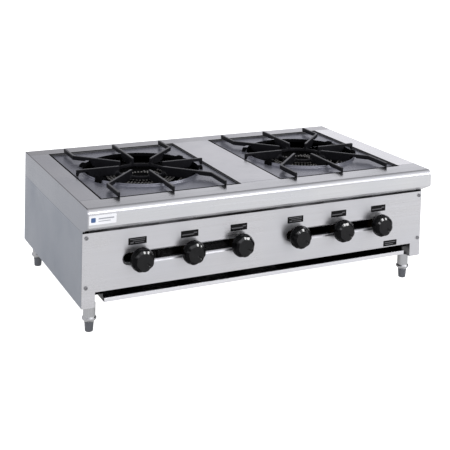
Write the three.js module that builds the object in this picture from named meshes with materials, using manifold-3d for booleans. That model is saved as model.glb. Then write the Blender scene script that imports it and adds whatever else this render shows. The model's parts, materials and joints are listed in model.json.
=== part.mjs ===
// Commercial gas range: a 36 inch wide counter hot plate with two large three-ring burners.
// Units are millimetres, +Z is up, +X is to the right and +Y goes to the back.
// Drawing frame: x = 0 at the left side, y = 0 at the outer face of the control panel, z = 0 at
// the underside of the feet. At the end the whole group is shifted so that the origin is the
// centre of its bounding box at floor level.
import * as THREE from 'three';
import { mergeVertices } from 'three/addons/utils/BufferGeometryUtils.js';
import Module from 'manifold-3d';

const wasm = await Module();
wasm.setup();

// ---------------------------------------------------------------- driving dimensions
const WIDTH = 914;            // overall body width
const DEPTH = 496;            // control panel face to back of the body
const Z_BODY = 65.2;          // underside of the body, on top of the legs
const Z_SEAM = 237.0;         // seam between the lower body and the top frame
const Z_TOP = 299.0;          // top surface of the rails
const Z_GRATE = 310.5;        // top of the cast grates
const T = 1.5;                // sheet thickness
const GAP = 0.3;              // clearance between touching pieces
const FIT = T + GAP;          // inset of a piece that fits inside a sheet
const FLANGE_INSET = 22;      // side flanges stop this far from the front and back

const NOSE_Y = -36.9;         // foremost line of the bullnose
const RECESS_X = [53.9, 401.7]; // left burner's recess; the right one mirrors it
const RECESS_Y = [34.1, 450.7];
const RAIL_Y = [RECESS_Y[0] + GAP, RECESS_Y[1] - GAP]; // rails between front and rear rails
const Z_LEDGE = 290.2;        // underside of the ledges and folds round the recesses
const Z_PLATE = 293.5;        // top face of the drop-in plates
const COLLAR_Z = 301.0;       // top of the raised collar round a plate's opening

const BURNER_X = 227.2;       // axis of the left burner; the right one mirrors it
const BURNER_Y = 240.3;
const RING_Z = [262, 281];    // underside and top of the burner rings
const TUBE_Z = 165.7;         // axis of mixer tubes, valves, stems and knobs

const KNOB_X = [133.8, 259.6, 385.8, 541.4, 665.2, 778.8];
const TRAY_OPEN_X = [31, 883]; // tray opening of the control panel
const TRAY_OPEN_Z = 99.5;

const MANIFOLD_Y = 34;
const MANIFOLD_Z = 133;
const MANIFOLD_R = 13.35;
const MANIFOLD_TOP = MANIFOLD_Z + MANIFOLD_R + GAP; // where the branches start
const MANIFOLD_END = 844;     // open right end of the manifold
const PIPE_BORE_R = 10.4;
const INLET_X = 868;
const INLET_END = 514;        // rear end of the inlet pipe

// Screws of the control panel: x, z, place in the name.
const SCREWS = [
  [9.4, 224, 'left_upper'], [9.4, 112, 'left_lower'],
  [906, 224, 'right_upper'], [906, 112, 'right_lower'],
];

// Outer line of the bullnose from the flat top down its face and back under it, as (y, z).
const NOSE = [
  [-22.9, Z_TOP], [-28.26, 297.93], [-32.8, 294.9], [-35.83, 290.36],
  [NOSE_Y, 285], [NOSE_Y, 260.2], [NOSE_Y + 0.4, 258.8], [NOSE_Y + 1.4, 257.4],
  [NOSE_Y + 2.8, 256.35], [2.6, 238.6],
];

// The three rings of a burner: mean radius and number of lathe segments.
const RINGS = {
  outer: { radius: 112, segments: 36 },
  middle: { radius: 75, segments: 30 },
  inner: { radius: 38, segments: 20 },
};

// What differs between the two sides. `place` takes a shape drawn on the left to its own side,
// `feedX` is the mixer tube of each ring, and `middleAngle` (degrees) is where the middle
// ring's tube meets it.
const SIDES = [
  {
    name: 'left',
    place: (shape) => shape,
    burnerX: BURNER_X,
    feedX: { outer: KNOB_X[0], inner: KNOB_X[1], middle: KNOB_X[2] },
    middleAngle: -30,
    pilotX: 195,
  },
  {
    name: 'right',
    place: (shape) => shape.mirror([1, 0, 0]).translate([WIDTH, 0, 0]),
    burnerX: WIDTH - BURNER_X,
    feedX: { middle: KNOB_X[3], inner: KNOB_X[4], outer: KNOB_X[5] },
    middleAngle: -150,
    pilotX: 720,
  },
];

// ---------------------------------------------------------------- finishes
const FINISH = {
  steelLight: { color: 0xc6c6c9, roughness: 0.38, metalness: 0.9 },
  steelSide: { color: 0x9a9ea8, roughness: 0.45, metalness: 0.85 },
  steelDark: { color: 0x6c6e72, roughness: 0.3, metalness: 0.95 },
  iron: { color: 0x1d1d1f, roughness: 0.75, metalness: 0.4 },
  black: { color: 0x0b0b0c, roughness: 0.18, metalness: 0.0 },
  brass: { color: 0xb08d4a, roughness: 0.35, metalness: 0.95 },
  pipe: { color: 0x3a3a3c, roughness: 0.6, metalness: 0.6 },
  leg: { color: 0xb4b6ba, roughness: 0.35, metalness: 0.9 },
  screw: { color: 0x77797d, roughness: 0.35, metalness: 0.9 },
};

// ---------------------------------------------------------------- solids
// Closed solid from a geometry, turned right side out if its faces point inwards.
function solid(geometry) {
  geometry.deleteAttribute('normal');
  geometry.deleteAttribute('uv');
  const merged = mergeVertices(geometry, 1e-4);
  const build = (triVerts) => new wasm.Manifold(new wasm.Mesh({
    numProp: 3,
    vertProperties: new Float32Array(merged.attributes.position.array),
    triVerts,
  }));
  const triangles = new Uint32Array(merged.index.array);
  const body = build(triangles);
  return body.volume() < 0 ? build(triangles.slice().reverse()) : body;
}

function geometryOf(manifold) {
  const mesh = manifold.getMesh();
  const geometry = new THREE.BufferGeometry();
  geometry.setAttribute('position', new THREE.Float32BufferAttribute(mesh.vertProperties, 3));
  geometry.setIndex(new THREE.Uint32BufferAttribute(mesh.triVerts, 1));
  geometry.computeVertexNormals();
  return geometry;
}

const join = (...parts) => parts.reduce((a, b) => a.add(b));
const cut = (body, ...tools) => tools.reduce((rest, tool) => rest.subtract(tool), body);

// A box from its ranges along x, y and z.
function box([x0, x1], [y0, y1], [z0, z1]) {
  const geometry = new THREE.BoxGeometry(x1 - x0, y1 - y0, z1 - z0);
  geometry.translate((x0 + x1) / 2, (y0 + y1) / 2, (z0 + z1) / 2);
  return solid(geometry);
}

function extrude(outline, depth, holes = []) {
  const toPoints = (loop) => loop.map(([a, b]) => new THREE.Vector2(a, b));
  const shape = new THREE.Shape(toPoints(outline));
  shape.holes = holes.map((hole) => new THREE.Path(toPoints(hole)));
  return new THREE.ExtrudeGeometry(shape, { depth, bevelEnabled: false });
}

const basis = (...axes) => new THREE.Matrix4().makeBasis(
  ...axes.map((axis) => new THREE.Vector3(...axis)),
);

// A prism whose outline is drawn in (y, z).
function prismX(outline, [x0, x1]) {
  const geometry = extrude(outline, x1 - x0);
  geometry.applyMatrix4(basis([0, 1, 0], [0, 0, 1], [1, 0, 0]));
  geometry.translate(x0, 0, 0);
  return solid(geometry);
}

// A prism whose outline and holes are drawn in (x, z).
function prismY(outline, [y0, y1], holes) {
  const geometry = extrude(outline, y1 - y0, holes);
  geometry.applyMatrix4(basis([1, 0, 0], [0, 0, 1], [0, -1, 0]));
  geometry.translate(0, y1, 0);
  return solid(geometry);
}

// A prism whose outline and holes are drawn in (x, y).
function prismZ(outline, [z0, z1], holes) {
  const geometry = extrude(outline, z1 - z0, holes);
  geometry.translate(0, 0, z0);
  return solid(geometry);
}

const rectangle = ([a0, a1], [b0, b1]) => [[a0, b0], [a1, b0], [a1, b1], [a0, b1]];

function circle(centreA, centreB, radius, segments) {
  return Array.from({ length: segments }, (_, i) => {
    const angle = (2 * Math.PI * i) / segments;
    return [centreA + radius * Math.cos(angle), centreB + radius * Math.sin(angle)];
  });
}

const latheGeometry = (profile, segments) => new THREE.LatheGeometry(
  profile.map(([radius, height]) => new THREE.Vector2(radius, height)), segments,
);

// A body of revolution about a vertical axis; the profile lists (radius, z).
function latheZ(profile, x, y, segments) {
  const geometry = latheGeometry(profile, segments);
  geometry.rotateX(Math.PI / 2);
  geometry.translate(x, y, 0);
  return solid(geometry);
}

// A body of revolution about an axis along Y; the profile lists (radius, y).
function latheY(profile, x, z, segments) {
  const geometry = latheGeometry(profile, segments);
  geometry.translate(x, 0, z);
  return solid(geometry);
}

// A round bar between two points.
function rod(start, end, radius, sides) {
  const from = new THREE.Vector3(...start);
  const to = new THREE.Vector3(...end);
  const run = to.clone().sub(from);
  const geometry = new THREE.CylinderGeometry(radius, radius, run.length(), sides);
  const up = new THREE.Vector3(0, 1, 0);
  geometry.applyQuaternion(new THREE.Quaternion().setFromUnitVectors(up, run.normalize()));
  geometry.translate(...from.add(to).multiplyScalar(0.5).toArray());
  return solid(geometry);
}

// A round bar along Y at the height of the mixer tubes and valves.
const axialRod = (x, [y0, y1], radius, sides) => rod([x, y0, TUBE_Z], [x, y1, TUBE_Z], radius, sides);

function ball(centre, radius, segments) {
  const geometry = new THREE.SphereGeometry(radius, segments, 6);
  geometry.translate(...centre);
  return solid(geometry);
}

// Round bars through a list of points, with a ball at each bend.
function bentRod(points, radius, sides, ballSegments = sides) {
  const bars = points.slice(1).map((point, i) => rod(points[i], point, radius, sides));
  const bends = points.slice(1, -1).map((point) => ball(point, radius, ballSegments));
  return join(...bars, ...bends);
}

// Outline of a sheet bent along an open line, thickened to the left-hand side of the line.
function bentSheet(line, thickness) {
  const points = line.map(([a, b]) => new THREE.Vector2(a, b));
  const normals = points.slice(1).map((point, i) => {
    const along = point.clone().sub(points[i]).normalize();
    return new THREE.Vector2(-along.y, along.x);
  });
  const offset = points.map((point, i) => {
    const adjacent = normals.slice(Math.max(i - 1, 0), i + 1);
    const mitre = adjacent.reduce((sum, n) => sum.add(n), new THREE.Vector2()).normalize();
    return point.clone().addScaledVector(mitre, thickness / mitre.dot(adjacent[0]));
  });
  return [...line, ...offset.reverse().map((point) => [point.x, point.y])];
}

// ---------------------------------------------------------------- body sides, drawn on the left
// Side panel with an inward top flange.
function sidePanel() {
  const top = Z_SEAM - GAP;
  return join(
    box([0, T], [FIT, DEPTH], [Z_BODY, top]),
    box([0, 14], [FLANGE_INSET, DEPTH - FLANGE_INSET], [top - T, top]),
  );
}

// Base channel: carries the legs below and the tray's runner on its inner wall.
function baseChannel() {
  const wall = 2;
  const inner = 29.2;
  const length = [FIT, DEPTH - FIT];
  const height = [Z_BODY, 99];
  const runnerX = [inner - wall, 48];
  const runnerY = [33, DEPTH - 8];
  const runnerTop = 90.4;
  return join(
    box([FIT, inner], length, [Z_BODY, Z_BODY + wall]),
    box([FIT, FIT + wall], length, height),
    box([inner - wall, inner], length, height),
    box(runnerX, runnerY, [88.7, runnerTop]),
    box([inner - wall, 50.4], [runnerY[0], 34.6], [79.5, runnerTop]),
    box(runnerX, runnerY, [95.6, 97.1]),
  );
}

// Top rail with the upper side band, whose front end closes the bullnose, and a plate ledge.
function topRail() {
  const band = [[DEPTH, Z_SEAM], [DEPTH, Z_TOP], ...NOSE, [2.6, Z_SEAM]];
  const edge = RECESS_X[0];
  return join(
    prismX(band, [0, T]),
    box([0, 12], [FLANGE_INSET, DEPTH - FLANGE_INSET], [Z_SEAM, Z_SEAM + T]),
    box([0, edge], RAIL_Y, [Z_TOP - T, Z_TOP]),
    box([edge - T, edge], RAIL_Y, [Z_LEDGE, Z_TOP]),
    box([edge - T, edge + 11], RAIL_Y, [Z_LEDGE, Z_LEDGE + T]),
  );
}

// Drop-in plate with a tapered collar round its opening.
function topPlate() {
  const holeR = 144;
  const segments = 40;
  const under = Z_PLATE - T;
  const outline = rectangle(
    [RECESS_X[0] + 0.9, RECESS_X[1] - 0.6],
    [RECESS_Y[0] + 0.6, RECESS_Y[1] - 0.6],
  );
  const hole = circle(BURNER_X, BURNER_Y, holeR, segments);
  const collar = latheZ([
    [holeR, under], [holeR + 4, under], [holeR + 1.8, COLLAR_Z], [holeR, COLLAR_Z],
    [holeR, under],
  ], BURNER_X, BURNER_Y, segments);
  return join(prismZ(outline, [under, Z_PLATE], [hole]), collar);
}

// Cast grate: eight arms, deep inside the opening, notched over the collar, shallow outside.
// The side arms end in a toe on the plate; the other six rest on the front and rear rails.
// Drawn about its own centre.
function grate() {
  const hubR = 57.4;            // inner ends of the arms
  const armT = 6.2;
  const sideReach = 168;
  const frontReach = 211.5;     // same to the front and to the back
  const bend = 133.4;           // x and y of the corner where a diagonal arm turns
  const diagonalReach = bend * Math.SQRT2;
  const chamfer = 1;
  const deepZ = 287.5;          // underside inside the opening
  const archZ = COLLAR_Z + 1.2; // underside over the collar
  const restZ = Z_TOP + 0.2;    // underside over the rails
  const toeZ = Z_PLATE + GAP;
  const thickness = [-armT / 2, armT / 2];

  // Arm outlines as (distance from the centre, z).
  const inside = [
    [hubR, deepZ], [130, deepZ], [135.5, deepZ + 2.2], [139.5, archZ], [152.5, archZ],
  ];
  const root = [[hubR + chamfer, Z_GRATE], [hubR, Z_GRATE - chamfer]];
  const tip = (reach) => [[reach, Z_GRATE - chamfer], [reach - chamfer, Z_GRATE]];
  const arm = (outside, degrees) =>
    prismY([...inside, ...outside, ...root], thickness).rotate([0, 0, degrees]);

  const toed = [
    [sideReach - 9, archZ], [sideReach - 6, toeZ], [sideReach, toeZ], ...tip(sideReach),
  ];
  const straight = [[157, restZ], [frontReach, restZ], ...tip(frontReach)];
  const diagonal = [[157, restZ], [diagonalReach, restZ], [diagonalReach, Z_GRATE]];
  const arms = [
    ...[0, 180].map((degrees) => arm(toed, degrees)),
    ...[90, -90].map((degrees) => arm(straight, degrees)),
    ...[45, 135, 225, 315].map((degrees) => arm(diagonal, degrees)),
  ];

  // From its corner each diagonal arm runs on straight to the front or back.
  const startY = bend - armT * 0.2;
  const tail = [[startY, restZ], [frontReach, restZ], ...tip(frontReach), [startY, Z_GRATE]];
  for (const signX of [-1, 1]) {
    for (const signY of [-1, 1]) {
      const outline = tail.map(([y, z]) => [signY * y, z]);
      arms.push(prismX(outline, thickness.map((x) => x + signX * bend)));
    }
  }
  const hub = latheZ([
    [hubR, deepZ], [hubR + 6.5, deepZ], [hubR + 6.5, deepZ + 8], [hubR, deepZ + 8],
    [hubR, deepZ],
  ], 0, 0, 24);
  return join(hub, ...arms);
}

// ---------------------------------------------------------------- burners and pilots
// Where the mixer tube meets its ring, as (x, y).
function burnerFoot(side, ring) {
  const { radius } = RINGS[ring];
  if (ring === 'middle') {
    const angle = THREE.MathUtils.degToRad(side.middleAngle);
    return [side.burnerX + radius * Math.cos(angle), BURNER_Y + radius * Math.sin(angle)];
  }
  const x = side.feedX[ring];
  return [x, BURNER_Y - Math.sqrt(radius ** 2 - (x - side.burnerX) ** 2)];
}

// Burner casting: a ring, a riser and a mixer tube whose mouth faces the valve's orifice.
function burner(side, ring) {
  const halfWidth = 11;
  const taper = 1.5;
  const tubeR = 14;
  const boreR = 10.5;
  const { radius, segments } = RINGS[ring];
  const x = side.feedX[ring];
  const [footX, footY] = burnerFoot(side, ring);
  const foot = [footX, footY, TUBE_Z];
  const bends = ring === 'middle' ? [[x, 112, TUBE_Z]] : [];

  const body = latheZ([
    [radius - halfWidth, RING_Z[0]], [radius + halfWidth, RING_Z[0]],
    [radius + halfWidth - taper, RING_Z[1]], [radius - halfWidth + taper, RING_Z[1]],
    [radius - halfWidth, RING_Z[0]],
  ], side.burnerX, BURNER_Y, segments);
  const tube = bentRod([[x, 78, TUBE_Z], ...bends, foot], tubeR, 12, 10);
  const bell = latheY([[0, 66], [19, 66], [19, 74], [tubeR, 84], [0, 84]], x, TUBE_Z, 12);
  const riser = rod(foot, [footX, footY, RING_Z[0] + 4], 10.6, 10);
  const bore = join(
    latheY([[0, 60], [16.5, 60], [16.5, 72], [boreR, 84], [0, 84]], x, TUBE_Z, 12),
    axialRod(x, [80, 104], boreR, 12),
  );
  return cut(join(body, tube, ball(foot, tubeR, 10), bell, riser), bore);
}

// Pilot: a thin tube from the manifold, up and back to a tip beside the outer ring.
function pilot({ pilotX: x, burnerX }) {
  const tipDistance = 134;      // from the burner's axis
  const runZ = 205;             // height of the run to the back
  const tipY = BURNER_Y - Math.sqrt(tipDistance ** 2 - (x - burnerX) ** 2);
  return join(
    rod([x, MANIFOLD_Y, MANIFOLD_TOP], [x, MANIFOLD_Y, 160], 6, 8),
    bentRod([
      [x, MANIFOLD_Y, 158], [x, MANIFOLD_Y, runZ], [x, tipY, runZ], [x, tipY, 272],
    ], 3, 8),
    rod([x, tipY, 270], [x, tipY, 284], 5, 8),
  );
}

// ---------------------------------------------------------------- panels
// Rear panel between the side panels, with a top flange, louvres and the inlet's hole.
function rearPanel() {
  const top = Z_SEAM - GAP;
  const outline = rectangle([FIT, WIDTH - FIT], [Z_BODY, top]);
  const inletHole = circle(INLET_X, MANIFOLD_Z, MANIFOLD_R + 2.5, 20);
  const flange = box([24, WIDTH - 24], [DEPTH - 16, DEPTH - T + 0.5], [top - T, top]);
  const louvres = [160, 330, 500, 670].flatMap((x) => (
    [184, 200, 216].map((z) => box([x, x + 96], [DEPTH - 4, DEPTH + 2], [z, z + 5]))
  ));
  return cut(join(prismY(outline, [DEPTH - T, DEPTH], [inletHole]), flange), ...louvres);
}

const SLOT_R = 10.25;
const SLOT_SPANS = [[98.5, 397], [517, 815.5]]; // x range of each slot
const SLOT_END_STEPS = 8;     // steps round each end
// Lip drawn inwards round each slot: closed section as (distance beyond SLOT_R, y).
const SLOT_LIP = [
  [5.2, 0], [4.5, 0.3], [0.5, 4.3], [0, 5.2], [1.5, 5.2], [2, 4.6], [4.7, 1.9], [5.2, 1.5],
];

// Round-ended loop about a slot, as (x, z), `radius` away from its middle line.
function slotLoop([x0, x1], radius) {
  const roundEnd = (x, start) => Array.from({ length: SLOT_END_STEPS + 1 }, (_, i) => {
    const angle = start + (Math.PI * i) / SLOT_END_STEPS;
    return [x + radius * Math.cos(angle), TUBE_Z + radius * Math.sin(angle)];
  });
  return [
    ...roundEnd(x0 + SLOT_R, 0.5 * Math.PI),
    ...roundEnd(x1 - SLOT_R, -0.5 * Math.PI),
  ];
}

// The lip's section swept round a slot: one loop per section point, joined by quads.
function slotLip(span) {
  const positions = SLOT_LIP.flatMap(([beyond, y]) => (
    slotLoop(span, SLOT_R + beyond).flatMap(([x, z]) => [x, y, z])
  ));
  const steps = 2 * (SLOT_END_STEPS + 1);
  const index = [];
  for (let k = 0; k < steps; k++) {
    for (let j = 0; j < SLOT_LIP.length; j++) {
      const nextK = (k + 1) % steps;
      const row = j * steps;
      const nextRow = ((j + 1) % SLOT_LIP.length) * steps;
      index.push(row + k, nextRow + nextK, row + nextK);
      index.push(row + k, nextRow + k, nextRow + nextK);
    }
  }
  const geometry = new THREE.BufferGeometry();
  geometry.setAttribute('position', new THREE.Float32BufferAttribute(positions, 3));
  geometry.setIndex(index);
  return solid(geometry);
}

// Control panel: two long slots, the tray opening between two tabs, folded edges.
function controlPanel() {
  const top = 234.6;
  const [x0, x1] = TRAY_OPEN_X;
  const outline = [
    [0, Z_BODY], [x0, Z_BODY], [x0, TRAY_OPEN_Z], [x1, TRAY_OPEN_Z], [x1, Z_BODY],
    [WIDTH, Z_BODY], [WIDTH, top], [0, top],
  ];
  const slots = SLOT_SPANS.map((span) => slotLoop(span, SLOT_R + 5));
  const tabY = [0.5, 31];
  const tabZ = [Z_BODY, TRAY_OPEN_Z + 1];
  return cut(join(
    prismY(outline, [0, T], slots),
    box([16, WIDTH - 16], [0.5, 18], [top - T, top]),
    box([x0 - T, x0], tabY, tabZ),
    box([x1, x1 + T], tabY, tabZ),
    box([x0 - T, x1 + T], [0.5, 14], [TRAY_OPEN_Z, TRAY_OPEN_Z + T]),
    ...SLOT_SPANS.map(slotLip),
  ), ...SCREWS.map(([x, z]) => rod([x, -3, z], [x, 5, z], 2.3, 10)));
}

// Pan head with a shank through the panel.
const panelScrew = (x, z) => latheY([
  [0, -2.6], [2.4, -2.4], [4.2, -1.6], [4.6, -GAP], [2, -GAP], [2, 9], [0, 9],
], x, z, 14);

// ---------------------------------------------------------------- top frame
const BETWEEN_SIDES = [FIT, WIDTH - FIT];

// Bullnose front rail: one folded sheet, open below, with a fold along the recess.
function frontRail() {
  const line = [[RECESS_Y[0], Z_LEDGE], [RECESS_Y[0], Z_TOP], ...NOSE];
  return prismX(bentSheet(line, T), BETWEEN_SIDES);
}

// Rear top rail: folded channel.
function rearRail() {
  const front = RECESS_Y[1];
  return join(
    box(BETWEEN_SIDES, [front, DEPTH], [Z_TOP - T, Z_TOP]),
    box(BETWEEN_SIDES, [DEPTH - T, DEPTH], [Z_SEAM, Z_TOP]),
    box(BETWEEN_SIDES, [front, front + T], [Z_LEDGE, Z_TOP]),
  );
}

// Centre top rail with a ledge on each side for the drop-in plates.
function centreRail() {
  const left = RECESS_X[1];
  const right = WIDTH - left;
  const ledgeZ = [Z_LEDGE, Z_LEDGE + T];
  return join(
    box([left, right], RAIL_Y, [Z_TOP - T, Z_TOP]),
    box([left, left + T], RAIL_Y, [Z_LEDGE, Z_TOP]),
    box([right - T, right], RAIL_Y, [Z_LEDGE, Z_TOP]),
    box([left - 11, left + T], RAIL_Y, ledgeZ),
    box([right - T, right + 11], RAIL_Y, ledgeZ),
  );
}

// Angle bar that runs across under the burner rings.
function burnerSupport(y) {
  const leg = 20;
  const wall = 2;
  const top = RING_Z[0] - GAP;
  return join(
    box(BETWEEN_SIDES, [y, y + leg], [top - wall, top]),
    box(BETWEEN_SIDES, [y, y + wall], [top - leg, top]),
  );
}

// ---------------------------------------------------------------- gas pipes
const onManifold = (x) => [x, MANIFOLD_Y, MANIFOLD_Z];

// Straight pipe, bored from its open right end.
const gasManifold = () => cut(
  rod(onManifold(70), onManifold(MANIFOLD_END), MANIFOLD_R, 14),
  rod(onManifold(800), onManifold(850), PIPE_BORE_R, 12),
);

// Inlet pipe with its thicker elbow at the manifold's end, running to the back.
function gasInletPipe() {
  const inletAt = (y) => [INLET_X, y, MANIFOLD_Z];
  const corner = inletAt(MANIFOLD_Y);
  return cut(
    join(
      bentRod([onManifold(MANIFOLD_END + GAP), corner, inletAt(62)], 15.5, 12),
      rod(inletAt(50), inletAt(INLET_END), MANIFOLD_R, 14),
    ),
    bentRod([onManifold(840), corner, inletAt(INLET_END + 2)], PIPE_BORE_R, 12),
  );
}

// ---------------------------------------------------------------- valves, stems and knobs
const gasValve = (x) => cut(join(
  axialRod(x, [24, 47], 11, 12),
  axialRod(x, [13, 25], 8.5, 10),
  rod([x, MANIFOLD_Y, MANIFOLD_TOP], [x, MANIFOLD_Y, TUBE_Z], 8, 8),
  axialRod(x, [46, 62], 6.5, 6),
), axialRod(x, [10, 22], 4.4, 10));

// Block that cuts the flat on the front part of a stem, `height` above the axis.
const flatCutter = (x, height) => box([x - 6, x + 6], [-24, -8], [TUBE_Z + height, TUBE_Z + 8]);

const valveStem = (x) => cut(axialRod(x, [-21, 21.7], 4, 10), flatCutter(x, 2.6));

// Knob with a raised pointer and a bore that follows the stem's flat.
function knob(x) {
  const rimR = 27.8;
  const offAngle = -40; // pointer when the valve is shut, degrees from +X towards +Z
  const body = latheY([
    [0, -36], [19.6, -36], [20.6, -35.2], [26.6, -27.4], [rimR, -21.4], [rimR, -16.4],
    [21.8, -13.6], [20.6, -4], [0, -4],
  ], x, TUBE_Z, 24);
  const pointer = prismY(rectangle([7, 17.5], [-1.3, 1.3]), [-36.5, -34])
    .rotate([0, -offAngle, 0])
    .translate([x, 0, TUBE_Z]);
  const bore = cut(axialRod(x, [-21.5, 0], 4.35, 10), flatCutter(x, 2.95));
  return cut(join(body, pointer), bore);
}

// ---------------------------------------------------------------- tray, legs and feet
// Drip tray: shallow pan, hemmed lip at the front, flanges that ride on the runners.
function dripTray() {
  const [x0, x1] = [52, 863];
  const wall = 1.2;
  const flange = 17;            // reach of a flange beyond the pan
  const bottom = 74.5;
  const lipTop = 84.1;
  const top = 92.6;
  const back = DEPTH - 22;
  const panY = [8, back];
  const lipY = [-2, 9];
  const ends = [[x0, x0 + wall], [x1 - wall, x1]];
  const flanges = [[x0 - flange, x0 + wall], [x1 - wall, x1 + flange]];
  return join(
    box([x0, x1], [-1, back], [bottom, bottom + wall]),
    ...ends.map((x) => box(x, panY, [bottom, top])),
    box([x0, x1], [back - wall, back], [bottom, top]),
    box([x0, x1], [lipY[0], lipY[0] + wall], [bottom, lipTop]),
    box([x0, x1], lipY, [lipTop - wall, lipTop]),
    ...ends.map((x) => box(x, lipY, [bottom, lipTop])),
    ...flanges.map((x) => box(x, panY, [top - wall, top])),
  );
}

// Leg with a flared collar and a socket for the foot's stud.
function leg(x, y) {
  const top = Z_BODY - GAP;
  return latheZ([
    [6.4, 23], [10.8, 23], [16.4, 29.2], [16.4, 32.2], [14.2, 34.4], [13.8, 36],
    [13.8, top], [0, top], [0, 52], [6.4, 52], [6.4, 23],
  ], x, y, 16);
}

const foot = (x, y) => latheZ([
  [0, 0], [8.2, 0], [9.2, 1.2], [10.8, 20.5], [10.8, 22.7], [6, 22.7], [6, 50], [0, 50],
], x, y, 16);

// ---------------------------------------------------------------- assembly
const range = new THREE.Group();

function piece(name, shape, finish) {
  const mesh = new THREE.Mesh(geometryOf(shape), new THREE.MeshStandardMaterial(finish));
  mesh.name = name;
  range.add(mesh);
}

for (const side of SIDES) {
  const { name, place, burnerX } = side;
  piece(`${name}_side_panel`, place(sidePanel()), FINISH.steelSide);
  piece(`${name}_base_channel`, place(baseChannel()), FINISH.steelLight);
  piece(`${name}_top_rail`, place(topRail()), FINISH.steelLight);
  piece(`${name}_top_plate`, place(topPlate()), FINISH.steelDark);
  piece(`${name}_grate`, grate().translate([burnerX, BURNER_Y, 0]), FINISH.iron);
  for (const ring of Object.keys(RINGS)) {
    piece(`${name}_burner_${ring}`, burner(side, ring), FINISH.iron);
  }
  piece(`${name}_pilot`, pilot(side), FINISH.brass);
}

piece('rear_panel', rearPanel(), FINISH.steelSide);
piece('front_control_panel', controlPanel(), FINISH.steelLight);
for (const [x, z, where] of SCREWS) piece(`panel_screw_${where}`, panelScrew(x, z), FINISH.screw);

piece('front_rail', frontRail(), FINISH.steelLight);
piece('rear_rail', rearRail(), FINISH.steelLight);
piece('centre_top_rail', centreRail(), FINISH.steelLight);
piece('burner_support_front', burnerSupport(140), FINISH.steelSide);
piece('burner_support_rear', burnerSupport(322), FINISH.steelSide);

piece('gas_manifold', gasManifold(), FINISH.pipe);
piece('gas_inlet_pipe', gasInletPipe(), FINISH.pipe);
KNOB_X.forEach((x, i) => {
  piece(`gas_valve_${i + 1}`, gasValve(x), FINISH.brass);
  piece(`valve_stem_${i + 1}`, valveStem(x), FINISH.brass);
  piece(`knob_${i + 1}`, knob(x), FINISH.black);
});

piece('drip_tray', dripTray(), FINISH.steelLight);

const LEG_INSET_X = 28.8;     // leg axis from the side
const LEG_INSET_Y = 31.7;     // leg axis from the front and from the back
for (const [across, x] of [['left', LEG_INSET_X], ['right', WIDTH - LEG_INSET_X]]) {
  for (const [along, y] of [['front', LEG_INSET_Y], ['rear', DEPTH - LEG_INSET_Y]]) {
    piece(`leg_${along}_${across}`, leg(x, y), FINISH.leg);
    piece(`foot_${along}_${across}`, foot(x, y), FINISH.leg);
  }
}

range.position.set(-WIDTH / 2, -(NOSE_Y + INLET_END) / 2, 0);

export default range;
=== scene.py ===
import json
import math

import bmesh
import bpy
from mathutils import Matrix, Vector

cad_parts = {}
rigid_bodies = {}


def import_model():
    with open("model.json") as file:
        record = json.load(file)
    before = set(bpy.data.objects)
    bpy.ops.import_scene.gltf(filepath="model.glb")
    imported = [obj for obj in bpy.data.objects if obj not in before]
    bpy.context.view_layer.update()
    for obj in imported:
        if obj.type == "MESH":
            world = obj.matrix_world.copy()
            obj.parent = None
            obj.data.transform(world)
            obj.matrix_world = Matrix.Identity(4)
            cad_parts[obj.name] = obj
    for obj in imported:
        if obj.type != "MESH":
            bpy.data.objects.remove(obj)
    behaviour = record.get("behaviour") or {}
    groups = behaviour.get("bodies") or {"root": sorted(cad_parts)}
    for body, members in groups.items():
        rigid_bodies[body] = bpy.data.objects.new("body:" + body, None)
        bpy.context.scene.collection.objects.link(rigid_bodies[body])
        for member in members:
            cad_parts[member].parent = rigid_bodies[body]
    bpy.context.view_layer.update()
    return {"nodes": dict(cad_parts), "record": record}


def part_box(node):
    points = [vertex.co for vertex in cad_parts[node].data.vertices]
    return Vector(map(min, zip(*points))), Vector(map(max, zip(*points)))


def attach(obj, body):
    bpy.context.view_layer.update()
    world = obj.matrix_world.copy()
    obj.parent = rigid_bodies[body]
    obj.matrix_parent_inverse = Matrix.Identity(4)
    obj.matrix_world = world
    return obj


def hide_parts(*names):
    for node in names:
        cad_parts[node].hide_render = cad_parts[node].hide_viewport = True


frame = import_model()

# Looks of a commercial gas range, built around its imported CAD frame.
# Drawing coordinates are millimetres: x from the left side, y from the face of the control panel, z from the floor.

scene = bpy.context.scene
MM = 0.001
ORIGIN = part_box("front_control_panel")[0].copy()


def D(x, y, z):
    """A point of the drawing frame in metres in the row frame."""
    return Vector((ORIGIN.x + x * MM, ORIGIN.y + y * MM, z * MM))


def back(v):
    """A row-frame point in drawing millimetres."""
    return Vector(((v.x - ORIGIN.x) / MM, (v.y - ORIGIN.y) / MM, v.z / MM))


def node_box(name):
    lo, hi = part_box(name)
    return back(lo), back(hi)


# ------------------------------------------------------------------ mesh helpers
def finish_mesh(me, angle=32.0):
    me.validate()
    bm = bmesh.new()
    bm.from_mesh(me)
    bmesh.ops.recalc_face_normals(bm, faces=bm.faces)
    bm.to_mesh(me)
    bm.free()
    me.shade_smooth()
    me.set_sharp_from_angle(angle=math.radians(angle))
    me.update()


def make(name, verts, faces, materials, picks=None, angle=32.0):
    me = bpy.data.meshes.new(name)
    me.from_pydata([tuple(v) for v in verts], [], faces)
    for m in materials:
        me.materials.append(m)
    if picks:
        for p, k in zip(me.polygons, picks):
            p.material_index = k
    finish_mesh(me, angle)
    o = bpy.data.objects.new(name, me)
    scene.collection.objects.link(o)
    return o


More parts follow.
